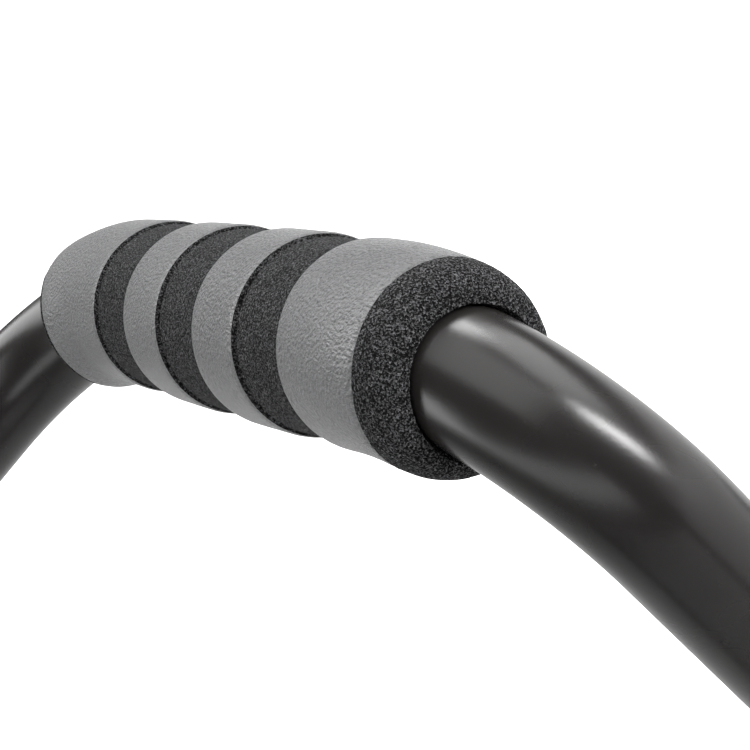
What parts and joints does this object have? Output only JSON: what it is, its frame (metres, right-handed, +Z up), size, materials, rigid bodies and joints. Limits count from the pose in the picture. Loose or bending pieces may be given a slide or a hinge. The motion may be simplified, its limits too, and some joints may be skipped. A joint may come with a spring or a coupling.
{
  "type": "doorway pull up bar",
  "caption": "Doorway pull-up bar: a bent tube handle loop with striped foam grips stands on adjustable hook arms over a wide bar with swivelling door pads.",
  "frame": {"origin": "on the underside of the hook rubber, where it rests on top of the door trim, midway between the arms", "axes": "+X to the user's right along the wide bar, +Y away from the user through the doorway, +Z up"},
  "size_m": [1.1516, 0.497, 0.278],
  "materials": {
    "black_paint": "glossy powder coat",
    "grip_foam": "grey skin with ground black grooves and ends",
    "black_plastic": "fine texture",
    "black_rubber": "matte",
    "zinc_steel": "zinc plated"
  },
  "bodies": {
    "hook_frame": {"left_arm_tube": "black_paint", "right_arm_tube": "black_paint", "left_arm_top_cap": "black_plastic", "right_arm_top_cap": "black_plastic", "left_arm_end_plug": "black_plastic", "right_arm_end_plug": "black_plastic", "hook_bar": "black_paint", "hook_rubber": "black_rubber", "hook_bolts": "zinc_steel", "hook_washers": "zinc_steel", "hook_nuts": "zinc_steel"},
    "front_frame": {"handle_loop_tube": "black_paint", "wide_bar_tube": "black_paint", "left_tee": "black_paint", "right_tee": "black_paint", "left_clamp_cap": "black_paint", "right_clamp_cap": "black_paint", "left_side_grip": "grip_foam", "right_side_grip": "grip_foam", "left_front_grip": "grip_foam", "right_front_grip": "grip_foam", "left_wide_grip": "grip_foam", "right_wide_grip": "grip_foam", "left_wide_end_cap": "black_plastic", "right_wide_end_cap": "black_plastic", "left_sleeve_plug": "black_plastic", "right_sleeve_plug": "black_plastic", "left_sleeve_collar": "black_plastic", "right_sleeve_collar": "black_plastic", "left_pad_bracket": "black_plastic", "right_pad_bracket": "black_plastic", "clamp_bolts": "zinc_steel", "clamp_nuts": "zinc_steel", "leg_bolts": "zinc_steel", "leg_nuts": "zinc_steel", "pad_pins": "zinc_steel"},
    "left_knob": {"left_knob_head": "black_plastic", "left_knob_screw": "zinc_steel"},
    "right_knob": {"right_knob_head": "black_plastic", "right_knob_screw": "zinc_steel"},
    "left_pad": {"left_pad_plate": "black_plastic", "left_pad_rubber": "black_rubber"},
    "right_pad": {"right_pad_plate": "black_plastic", "right_pad_rubber": "black_rubber"}
  },
  "joints": [
    {"name": "depth_slide", "type": "slide", "parent": "hook_frame", "child": "front_frame", "axis": [0, -1, 0], "range_m": [0, 0.045]},
    {"name": "left_knob_turn", "type": "hinge", "parent": "front_frame", "child": "left_knob", "pos_m": [-0.234, -0.11, -0.11], "axis": [1, 0, 0], "range_deg": [0, 180]},
    {"name": "right_knob_turn", "type": "hinge", "parent": "front_frame", "child": "right_knob", "pos_m": [0.234, -0.11, -0.11], "axis": [-1, 0, 0], "range_deg": [0, 180]},
    {"name": "left_pad_swivel", "type": "hinge", "parent": "front_frame", "child": "left_pad", "pos_m": [-0.372, -0.164, -0.144], "axis": [0, 0, 1], "range_deg": [-10, 10]},
    {"name": "right_pad_swivel", "type": "hinge", "parent": "front_frame", "child": "right_pad", "pos_m": [0.372, -0.164, -0.144], "axis": [0, 0, 1], "range_deg": [-10, 10]}
  ]
}
